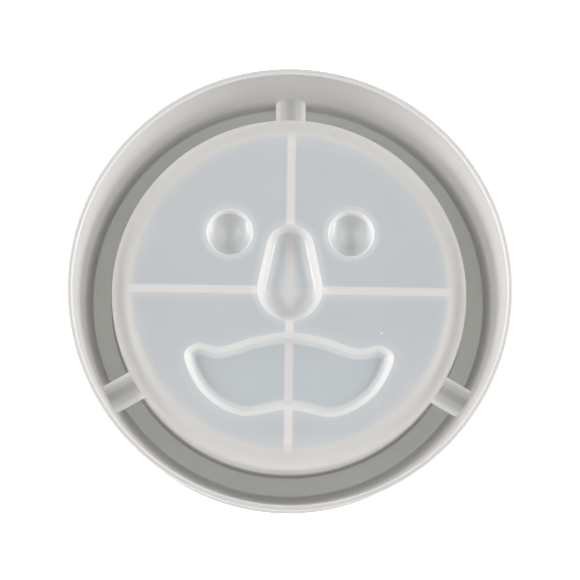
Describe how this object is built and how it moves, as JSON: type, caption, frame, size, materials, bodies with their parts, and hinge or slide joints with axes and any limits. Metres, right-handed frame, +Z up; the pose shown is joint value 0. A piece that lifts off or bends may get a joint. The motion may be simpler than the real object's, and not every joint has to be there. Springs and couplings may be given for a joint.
{
  "type": "resin casting mould",
  "caption": "Round open silicone mould with a ring channel, half-round rest formers and a raised hollow core whose top plate is sunk with a plain face.",
  "frame": {"origin": "middle of the base, on the surface the mould stands on", "axes": "+Z up out of the open mould, +Y towards the forehead of the face, +X to the right when looking down with the forehead at the top"},
  "size_m": [0.12, 0.12, 0.033],
  "materials": {
    "lip_silicone": "translucent milky silicone, satin",
    "wall_silicone": "translucent milky silicone, satin",
    "floor_silicone": "translucent milky silicone, satin",
    "core_silicone": "translucent milky silicone, satin",
    "plate_silicone": "translucent milky silicone, satin",
    "former_silicone": "translucent milky silicone, satin",
    "pocket_silicone": "translucent milky silicone, satin",
    "web_silicone": "translucent milky silicone, satin"
  },
  "bodies": {
    "root": {"rim_lip": "lip_silicone", "outer_wall": "wall_silicone", "channel_floor": "floor_silicone", "core_wall": "core_silicone", "core_shoulder": "core_silicone", "core_plate": "plate_silicone", "rest_former_top": "former_silicone", "rest_former_left": "former_silicone", "rest_former_right": "former_silicone", "eye_cup_left": "pocket_silicone", "eye_cup_right": "pocket_silicone", "nose_cup": "pocket_silicone", "mouth_cup": "pocket_silicone", "web_top": "web_silicone", "web_bottom": "web_silicone", "web_left": "web_silicone", "web_right": "web_silicone", "web_hub": "web_silicone"}
  },
  "joints": []
}
